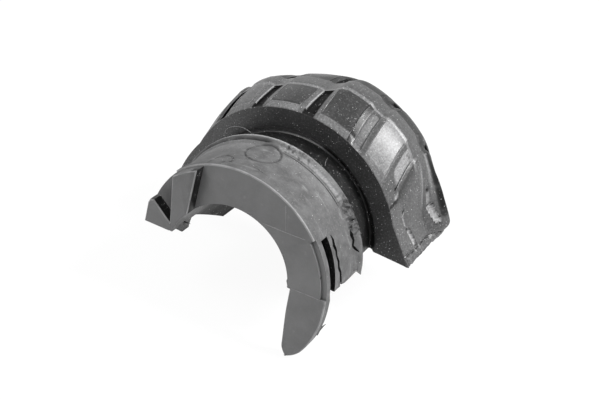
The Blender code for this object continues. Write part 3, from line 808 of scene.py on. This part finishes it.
def outer_dust_and_painted_light(x, y, deg):
    """Bloom and painted light on the tread and feet, with a painted highlight in the dents and painted shade
    on their rim.
    """
    flat = math.degrees(math.acos(max(-1.0, min(1.0, x / GROOVE_REF_R))))
    amount = tread_dust_and_painted_light(deg + smooth(min(deg, 180.0 - deg), *LEAN_DEG) * (flat - deg), y)
    amount += (LEFT_END_BLOOM - amount) * smooth(deg, *LEFT_END_DEG)
    if deg < FOOT_MARKS_END_DEG:
        pit = max(0.0, -foot_marks(deg, y) / DENT_DEPTH)
        amount += (PIT_PAINTED_HIGHLIGHT - amount) * smooth(pit, *PIT_DEPTH) * smooth(deg, *PIT_DEG)
        amount -= PIT_RIM_SHADE * bump(pit, PIT_RIM_AT, PIT_RIM_AT)
    return amount


# Rows for the ring: a paler band is (amount, y window, angle window), the first a painted highlight on
# the lip's slope and the others haze; painted shade in a lip groove is (amount, y, half width, angle
# window), and a dark patch is (amount, angle window)
TO_LIP = (LIP_Y, LIP_Y + 1.0)
TO_LEFT = (180.0, 181.0)
RING_HIGHLIGHT_AND_HAZE = ((0.55, (13.6, 13.9, 14.5, 15.0), (42.0, 48.0, 84.0, 96.0)),
             (0.14, (7.0, 13.0) + TO_LIP, (40.0, 55.0, 84.0, 94.0)),
             (0.22, (8.0, 13.0) + TO_LIP, (98.0, 112.0) + TO_LEFT))
# A painted highlight runs along the lip's edge on top.
LIP_EDGE_HIGHLIGHT = (0.8, LIP_Y - 0.4, 0.5)
LIP_EDGE_HIGHLIGHT_DEG = (60.0, 90.0)
# Painted shade lies in the grooves of the lip.
LIP_GROOVE_SHADE = ((0.9, 14.9, 0.6, LIP_LEFT_DEG + TO_LEFT), (0.7, 13.45, 0.25, (44.0, 50.0, 80.0, 90.0)),
              (0.7, 13.98, 0.2, (44.0, 50.0, 80.0, 90.0)))
DARK_PATCHES = ((1.6, (22.0, 28.0, 46.0, 52.0)), (1.4, (66.0, 74.0, 88.0, 92.0)))
DARK_PATCH_Y = (13.4, 14.2)
PATCH_NOISE = (0.6, 1.7, 5.0)
EJECTOR_DARK = 0.7
EJECTOR_PATCHY = 0.6
EJECTOR_DARK_HALF_W = 0.35
NICK = (103.4, 1.6, 3.0, 1.2)
NICK_DARK = 0.7


def ring_dust_and_painted_light(deg, y):
    """Bloom and painted light on the ring: haze towards the lip, painted highlights on its slope and edge,
    painted shade in its grooves, and the dark marks.
    """
    amount, at, half = LIP_EDGE_HIGHLIGHT
    painted_light_and_bloom = amount * bump(y, at, half) * smooth(deg, *LIP_EDGE_HIGHLIGHT_DEG)
    for amount, ys, degs in RING_HIGHLIGHT_AND_HAZE:
        painted_light_and_bloom = max(painted_light_and_bloom, amount * between(y, *ys) * between(deg, *degs))
    patch = uneven(deg, y, *PATCH_NOISE)
    for centre, mid_y, size in EJECTORS:
        gap = math.hypot(math.radians(deg - centre) * RING_R, y - mid_y) - size
        painted_light_and_bloom -= (EJECTOR_DARK + EJECTOR_PATCHY * patch) * bump(gap, 0.0, EJECTOR_DARK_HALF_W)
    for amount, at, half, degs in LIP_GROOVE_SHADE:
        painted_light_and_bloom -= amount * bump(y, at, half) * between(deg, *degs)
    for amount, degs in DARK_PATCHES:
        painted_light_and_bloom -= amount * max(0.0, patch) * between(deg, *degs) * smooth(y, *DARK_PATCH_Y)
    at_deg, half_deg, at_y, half_y = NICK
    return painted_light_and_bloom - (NICK_DARK + patch) * bump(deg, at_deg, half_deg) * bump(y, at_y, half_y)


FACE_BLOOM = 0.06
FACE_LEFT_SHEEN = 0.14
FACE_LEFT_DEG = (100.0, 140.0)
UNDERSIDE_PAINTED_SHADE = -0.6
UNDERSIDE_PATCHY = 0.5
UNDERSIDE_RATE = 0.7
NECK_LIT = 1.3
NECK_FACE_DEG = (62.0, 80.0)
NECK_LIT_DEG = (56.0, 72.0, 94.0, 108.0)


def dust_and_painted_light_at(x, y, z):
    """Bloom and painted light and shade at one point of the moulding, by the part of it that the point is
    on.
    """
    r = math.hypot(x, z)
    deg = math.degrees(math.atan2(z, x))
    if r > TREAD_EDGE_R - 0.2 and y > TREAD_Y + 0.05:
        return outer_dust_and_painted_light(x, y, deg)
    # The annular face has a little grey dust, with a painted sheen that grows towards the left.
    if y > TREAD_Y - 0.3 and r > DISH_R + 0.05:
        return FACE_BLOOM + FACE_LEFT_SHEEN * smooth(deg, *FACE_LEFT_DEG)
    if r > RING_R - 0.7 and PLATE_T - 0.5 < y < LIP_Y - 0.1:
        return ring_dust_and_painted_light(deg, y)
    # The keeper block's right wall and the inside of the relief slot are painted in full shade.
    in_slot = SLOT_Y - 0.1 < y < SLOT_Y + SLOT_W + 0.1 and r < RING_R - 0.7 and x > 0.0
    if y < -0.1 and x > BLOCK_RIGHT_X[0] - 1.2 or in_slot:
        return -1.0
    # The bore and the underside on the left are painted in shade, patchily.
    if x < 0.0 and y > LEFT_STEP_Y and (r < BORE_R + 0.1 or z < SPLIT_LEFT_Z + 0.1):
        return UNDERSIDE_PAINTED_SHADE + UNDERSIDE_PATCHY * noise.noise(Vector((x, y, z)) * UNDERSIDE_RATE)
    # The neck and the dish are painted in shade, lifted by painted light towards the top.
    if LIP_Y < y < TREAD_Y + DISH_DEPTH + 0.1 and r > NECK_R + 0.1:
        lit = smooth(deg, *NECK_FACE_DEG) if y > TREAD_Y - 0.5 else between(deg, *NECK_LIT_DEG)
        return NECK_LIT * lit - 1.0
    return 0.0


bloom_and_painted_light = moulding.data.attributes.new("bloom_and_painted_light", "FLOAT", "POINT")
for v, amount in zip(moulding.data.vertices, bloom_and_painted_light.data):
    amount.value = dust_and_painted_light_at(*(v.co / MM))

# Rubber finish
# Black natural rubber. The plate and the ring have a grey bloom of dust and mould release;
# the neck and tread stay black, satin, and speckled with fine white dust. The bloom attribute
# also paints highlights in the dust's grey tone and paints shade darker.


def add_node(tree, kind, links=(), **settings):
    """A new node with its settings, and its inputs given as values or as outputs to link."""
    node = tree.nodes.new(kind)
    for key, value in settings.items():
        setattr(node, key, value)
    for key, value in dict(links).items():
        if isinstance(value, bpy.types.NodeSocket):
            tree.links.new(value, node.inputs[key])
        else:
            node.inputs[key].default_value = value
    return node


def math_node(tree, operation, a, b=0.0, clamp=False):
    return add_node(tree, "ShaderNodeMath", {0: a, 1: b}, operation=operation, use_clamp=clamp).outputs[0]


def new_group(name, inputs, outputs):
    group = bpy.data.node_groups.new(name, "ShaderNodeTree")
    for label, kind, value in inputs:
        socket = group.interface.new_socket(label, in_out="INPUT", socket_type=kind)
        socket.default_value = value
    for label, kind in outputs:
        group.interface.new_socket(label, in_out="OUTPUT", socket_type=kind)
    return group, group.nodes.new("NodeGroupInput"), group.nodes.new("NodeGroupOutput")


def map_range(tree, value, low, high, to_low=0.0, to_high=1.0):
    """The value's share of the way from low to high, held at the ends and scaled."""
    links = {"Value": value, "From Min": low, "From Max": high, "To Min": to_low, "To Max": to_high}
    return add_node(tree, "ShaderNodeMapRange", links).outputs[0]


FLOAT = "NodeSocketFloat"

# Fine grain of the mould's surface, with a slow change of tone
grain, grain_in, grain_out = new_group(
    "moulded_grain", [("Scale", FLOAT, 1500.0), ("Slow Scale", FLOAT, 140.0)],
    [("Height", FLOAT), ("Tone", FLOAT)])
place = add_node(grain, "ShaderNodeTexCoord").outputs["Object"]
for rate, detail, roughness, result in (("Scale", 4.0, 0.6, "Height"), ("Slow Scale", 5.0, 0.65, "Tone")):
    links = {"Vector": place, "Scale": grain_in.outputs[rate], "Detail": detail, "Roughness": roughness}
    texture = add_node(grain, "ShaderNodeTexNoise", links)
    grain.links.new(texture.outputs["Fac"], grain_out.inputs[result])

# White dust: small round specks of mixed size, thicker in some places
dust, dust_in, dust_out = new_group(
    "white_dust", [("Scale", FLOAT, 900.0), ("Size", FLOAT, 0.16), ("Cover", FLOAT, 0.5)],
    [("Mask", FLOAT)])
place = add_node(dust, "ShaderNodeTexCoord").outputs["Object"]
cells = add_node(dust, "ShaderNodeTexVoronoi", {"Vector": place, "Scale": dust_in.outputs["Scale"]})
tint = add_node(dust, "ShaderNodeSeparateColor", {"Color": cells.outputs["Color"]})
size = math_node(dust, "MULTIPLY", tint.outputs[0], dust_in.outputs["Size"])
speck = math_node(dust, "LESS_THAN", cells.outputs["Distance"], size)
links = {"Vector": place, "Scale": 160.0, "Detail": 2.0}
clumps = add_node(dust, "ShaderNodeTexNoise", links).outputs["Fac"]
cover = math_node(dust, "MULTIPLY", clumps, dust_in.outputs["Cover"])
kept = math_node(dust, "LESS_THAN", tint.outputs[1], cover)
dust.links.new(math_node(dust, "MULTIPLY", speck, kept), dust_out.inputs["Mask"])

# Rubbed streaks, drawn out along one direction
rub, rub_in, rub_out = new_group(
    "rubbed_streaks",
    [("Across", FLOAT, 900.0), ("Along", FLOAT, 60.0), ("Low", FLOAT, 0.6), ("High", FLOAT, 0.75)],
    [("Mask", FLOAT)])
place = add_node(rub, "ShaderNodeTexCoord").outputs["Object"]
across, along = rub_in.outputs["Across"], rub_in.outputs["Along"]
scale = add_node(rub, "ShaderNodeCombineXYZ", {0: across, 1: along, 2: across})
drawn = add_node(rub, "ShaderNodeVectorMath", {0: place, 1: scale.outputs[0]}, operation="MULTIPLY")
links = {"Vector": drawn.outputs[0], "Scale": 1.0, "Detail": 3.0}
lines = add_node(rub, "ShaderNodeTexNoise", links).outputs["Fac"]
mask = map_range(rub, lines, rub_in.outputs["Low"], rub_in.outputs["High"])
rub.links.new(mask, rub_out.inputs["Mask"])


def place_group(tree, group, **values):
    node = tree.nodes.new("ShaderNodeGroup")
    node.node_tree = group
    for key, value in values.items():
        node.inputs[key.replace("_", " ")].default_value = value
    return node


def mix_color(tree, factor, a, b):
    node = tree.nodes.new("ShaderNodeMix")
    node.data_type = "RGBA"
    for socket, value in ((node.inputs["Factor"], factor), (node.inputs[6], a), (node.inputs[7], b)):
        if isinstance(value, bpy.types.NodeSocket):
            tree.links.new(value, socket)
        else:
            socket.default_value = value
    return node.outputs[2]


def grey(value):
    return (value, value, value * 1.01, 1.0)


PAINTED_SHADE_TONE = 0.006
PAINTED_SHADE_SPECULAR = 0.03
SPECK_SCALE = 2600.0
SPECK_TONE = 0.38
FLECK_SHARE = 0.6
RELIEF = 0.35


def rubber(name, tones, dust_and_highlight_tone, roughness, specular, relief_mm, grain_scales, speck_size, speck_cover,
           flecks, streak_rates, streak_range, streak_share, marks):
    """Black rubber between two tones, with dust and rubbed streaks of its own amount.

    The attribute mixes in the dust's tone for dust and for painted highlights. Flecks and streaks are shares
    of the dust's tone. Marks is how far places with a negative attribute darken, as painted shade.
    """
    material = bpy.data.materials.new(name)
    material.use_nodes = True
    tree = material.node_tree
    shader = tree.nodes["Principled BSDF"]
    grained = place_group(tree, grain, Scale=grain_scales[0], Slow_Scale=grain_scales[1])
    slow, fine = grained.outputs["Tone"], grained.outputs["Height"]
    tone = mix_color(tree, map_range(tree, slow, 0.35, 0.65), grey(tones[0]), grey(tones[1]))
    flecked = map_range(tree, fine, 0.55, 0.8, 0.0, flecks)
    tone = mix_color(tree, flecked, tone, grey(dust_and_highlight_tone * FLECK_SHARE))
    painted_light_and_bloom = add_node(tree, "ShaderNodeAttribute", attribute_name="bloom_and_painted_light").outputs["Fac"]
    patchy = map_range(tree, fine, 0.35, 0.65, 0.55, 1.15)
    dust_and_highlight = math_node(tree, "MULTIPLY", painted_light_and_bloom, patchy, clamp=True)
    tone = mix_color(tree, dust_and_highlight, tone, grey(dust_and_highlight_tone))
    # Where the attribute is negative, shade is painted in: the tone goes darker and the specular lower.
    shade = math_node(tree, "MULTIPLY", painted_light_and_bloom, -marks, clamp=True)
    tone = mix_color(tree, shade, tone, grey(PAINTED_SHADE_TONE))
    streaks = place_group(tree, rub, Across=streak_rates[0], Along=streak_rates[1],
                          Low=streak_range[0], High=streak_range[1])
    streaked = math_node(tree, "MULTIPLY", streaks.outputs[0], streak_share)
    tone = mix_color(tree, streaked, tone, grey(dust_and_highlight_tone))
    specks = place_group(tree, dust, Scale=SPECK_SCALE, Size=speck_size, Cover=speck_cover)
    tone = mix_color(tree, specks.outputs[0], tone, grey(SPECK_TONE))
    tree.links.new(tone, shader.inputs["Base Color"])
    rough = map_range(tree, slow, 0.3, 0.7, roughness - 0.06, roughness + 0.08)
    tree.links.new(rough, shader.inputs["Roughness"])
    shaded_specular = map_range(tree, painted_light_and_bloom, -1.0, 0.0, PAINTED_SHADE_SPECULAR, specular)
    tree.links.new(shaded_specular, shader.inputs["Specular IOR Level"])
    bump_links = {"Height": fine, "Strength": RELIEF, "Distance": relief_mm * MM}
    relief = add_node(tree, "ShaderNodeBump", bump_links)
    tree.links.new(relief.outputs[0], shader.inputs["Normal"])
    material.diffuse_color = grey(tones[0])
    return material


finishes = [
    rubber("black_rubber", tones=(0.004, 0.01), dust_and_highlight_tone=0.3, roughness=0.36, specular=0.27, relief_mm=0.06,
           grain_scales=(2400.0, 170.0), speck_size=0.25, speck_cover=0.6, flecks=0.35,
           streak_rates=(700.0, 90.0), streak_range=(0.6, 0.8), streak_share=0.05, marks=0.85),
    rubber("bloomed_plate", tones=(0.074, 0.094), dust_and_highlight_tone=0.22, roughness=0.62, specular=0.25,
           relief_mm=0.04, grain_scales=(2200.0, 110.0), speck_size=0.2, speck_cover=0.0, flecks=0.3,
           streak_rates=(500.0, 500.0), streak_range=(0.66, 0.8), streak_share=0.2, marks=0.0),
    # A paler finish for edges: a painted highlight on the plate's rim chamfer, and wear on the keeper's rim.
    rubber("worn_and_lit_edge", tones=(0.11, 0.18), dust_and_highlight_tone=0.36, roughness=0.6, specular=0.3, relief_mm=0.05,
           grain_scales=(2200.0, 300.0), speck_size=0.2, speck_cover=0.1, flecks=0.3,
           streak_rates=(500.0, 500.0), streak_range=(0.66, 0.8), streak_share=0.2, marks=0.0),
    rubber("bloomed_ring", tones=(0.05, 0.085), dust_and_highlight_tone=0.28, roughness=0.64, specular=0.2, relief_mm=0.09,
           grain_scales=(2200.0, 480.0), speck_size=0.22, speck_cover=0.2, flecks=0.55,
           streak_rates=(260.0, 1100.0), streak_range=(0.6, 0.8), streak_share=0.35, marks=0.85)]
BLACK, PLATE, WORN_AND_LIT_EDGE, RING = range(4)


def finish_of(face):
    """Index of a face's finish, by where it lies and which way it looks."""
    x, y, z = face.center / MM
    r = math.hypot(x, z)
    n = face.normal
    outward = (n.x * x + n.z * z) / r
    forward = n.y < -0.3
    # The plate's rim chamfer is painted paler as a highlight; the keeper's rim is worn paler.
    plate_rim = y < PLATE_EDGE and forward and outward > 0.3 and r > PLATE_R - 0.6
    keeper_rim = y < KEEPER_EDGE - KEEPER_H and forward and n.y > -0.95
    raised_line = -0.12 < y < -0.005 and x > 0.0
    if plate_rim or keeper_rim or raised_line:
        return WORN_AND_LIT_EDGE
    rabbet_side = y < RABBET_DEPTH and x > 0.0 and r > PLATE_R - RABBET_W - 0.1
    plate_back = PLATE_T + (POCKET_CLEAR if r > BORE_R + 3.0 else 0.0) + 0.05
    if y < plate_back and (forward or rabbet_side):
        return PLATE
    if r > RING_R - 0.6 and y < LIP_Y + 0.05 and (outward > 0.25 or z < 0.0 and x > 0.0):
        return RING
    return BLACK


moulding.data.materials.clear()
for finish in finishes:
    moulding.data.materials.append(finish)
for face in moulding.data.polygons:
    face.material_index = finish_of(face)
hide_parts("bushing_half")
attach(moulding, "root")

# Fibres
# A pale hair lies in a loop over the lip and the annular face, and a short one
# stands on the neck. Both cling to the dusty rubber.
HAIR_R = 0.035


def hair(name, points):
    curve = bpy.data.curves.new(name, "CURVE")
    curve.dimensions = "3D"
    spline = curve.splines.new("NURBS")
    spline.points.add(len(points) - 1)
    for p, co in zip(spline.points, points):
        p.co = (co[0] * MM, co[1] * MM, co[2] * MM, 1.0)
    spline.use_endpoint_u = True
    spline.order_u = 4
    curve.bevel_depth = HAIR_R * MM
    curve.bevel_resolution = 1
    curve.materials.append(lint)
    obj = bpy.data.objects.new(name, curve)
    bpy.context.scene.collection.objects.link(obj)
    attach(obj, "root")


lint = bpy.data.materials.new("pale_lint")
lint.use_nodes = True
shader = lint.node_tree.nodes["Principled BSDF"]
lightening = place_group(lint.node_tree, grain, Scale=900.0, Slow_Scale=300.0)
lint_tone = mix_color(lint.node_tree, lightening.outputs["Tone"], grey(0.1), grey(0.4))
lint.node_tree.links.new(lint_tone, shader.inputs["Base Color"])
shader.inputs["Roughness"].default_value = 0.8
hair("hair_loop", ((-18.7, 24.5, 13.4), (-19.1, 24.5, 14.6), (-18.9, 24.4, 15.9), (-17.7, 24.4, 16.9),
                   (-16.2, 24.3, 17.7), (-14.6, 24.2, 18.1), (-13.0, 23.0, 18.6), (-10.5, 19.5, 20.6),
                   (-8.0, 16.3, 22.25), (-7.4, 15.6, 22.4)))
hair("hair_stub", ((8.4, 20.8, 18.85), (7.9, 21.6, 19.2), (7.4, 22.8, 19.45), (7.3, 24.0, 19.5)))

# Studio
# A pale floor just under the tongue, soft lamps over it, and the camera at the
# photograph's angle. Places here are in metres.
FLOOR_Z_M = -0.0164
FLOOR_HALF_M = 4.0
FLOOR_GLOW = 0.94
WORLD_FILL = 0.35
corners = [(x * FLOOR_HALF_M, y * FLOOR_HALF_M, FLOOR_Z_M) for x, y in ((-1, -1), (1, -1), (1, 1), (-1, 1))]
floor_mesh = bpy.data.meshes.new("floor")
floor_mesh.from_pydata(corners, [], [(0, 1, 2, 3)])
floor = bpy.data.objects.new("floor", floor_mesh)
bpy.context.scene.collection.objects.link(floor)
paper = bpy.data.materials.new("floor_paper")
paper.use_nodes = True
tree = paper.node_tree
shader = tree.nodes["Principled BSDF"]
shader.inputs["Base Color"].default_value = (0.9, 0.9, 0.9, 1.0)
shader.inputs["Roughness"].default_value = 0.9
light_path = add_node(tree, "ShaderNodeLightPath")
glow = add_node(tree, "ShaderNodeEmission", {"Color": (1.0, 1.0, 1.0, 1.0), "Strength": 1.0})
seen = math_node(tree, "MAXIMUM", light_path.outputs["Is Camera Ray"], light_path.outputs["Is Glossy Ray"])
seen = math_node(tree, "MULTIPLY", seen, FLOOR_GLOW)
blend = add_node(tree, "ShaderNodeMixShader", {0: seen, 1: shader.outputs[0], 2: glow.outputs[0]})
tree.links.new(blend.outputs[0], tree.nodes["Material Output"].inputs["Surface"])
floor.data.materials.append(paper)

world = bpy.data.worlds.new("studio")
bpy.context.scene.world = world
world.use_nodes = True
tree = world.node_tree
tree.nodes["Background"].inputs["Color"].default_value = (1.0, 1.0, 1.0, 1.0)
light_path = add_node(tree, "ShaderNodeLightPath")
shown = math_node(tree, "MAXIMUM", light_path.outputs["Is Camera Ray"], light_path.outputs["Is Glossy Ray"])
shown = math_node(tree, "MAXIMUM", shown, light_path.outputs["Is Transmission Ray"])
strength = add_node(tree, "ShaderNodeMapRange", {"Value": shown, "To Min": WORLD_FILL, "To Max": 1.0})
tree.links.new(strength.outputs[0], tree.nodes["Background"].inputs["Strength"])


def lamp(name, place, aim, size, power):
    light = bpy.data.lights.new(name, "AREA")
    light.size = size
    light.energy = power
    obj = bpy.data.objects.new(name, light)
    bpy.context.scene.collection.objects.link(obj)
    obj.location = place
    obj.rotation_euler = (Vector(aim) - Vector(place)).to_track_quat("-Z", "Y").to_euler()


lamp("key", place=(-0.28, -0.35, 0.5), aim=(0.0, 0.02, 0.01), size=0.35, power=4.0)
lamp("softbox_behind", place=(0.4, 0.14, 0.48), aim=(0.02, 0.03, 0.02), size=0.22, power=8.0)

SENSOR_MM = 36.0
LENS_MM = 67.79
CAMERA_RIGHT = (0.861774, 0.479778, 0.164802)
CAMERA_UP = (-0.376746, 0.387738, 0.841262)
CAMERA_BACK = (0.339719, -0.787066, 0.514897)
CAMERA_PLACE_M = (0.089172, -0.176303, 0.137500)
camera = bpy.data.cameras.new("camera")
camera.sensor_width = SENSOR_MM
camera.lens = LENS_MM
camera.clip_start = 0.01
eye = bpy.data.objects.new("camera", camera)
bpy.context.scene.collection.objects.link(eye)
rows = list(zip(CAMERA_RIGHT, CAMERA_UP, CAMERA_BACK, CAMERA_PLACE_M))
eye.matrix_world = Matrix(rows + [(0, 0, 0, 1)])
bpy.context.scene.camera = eye
bpy.context.scene.view_settings.view_transform = "Standard"
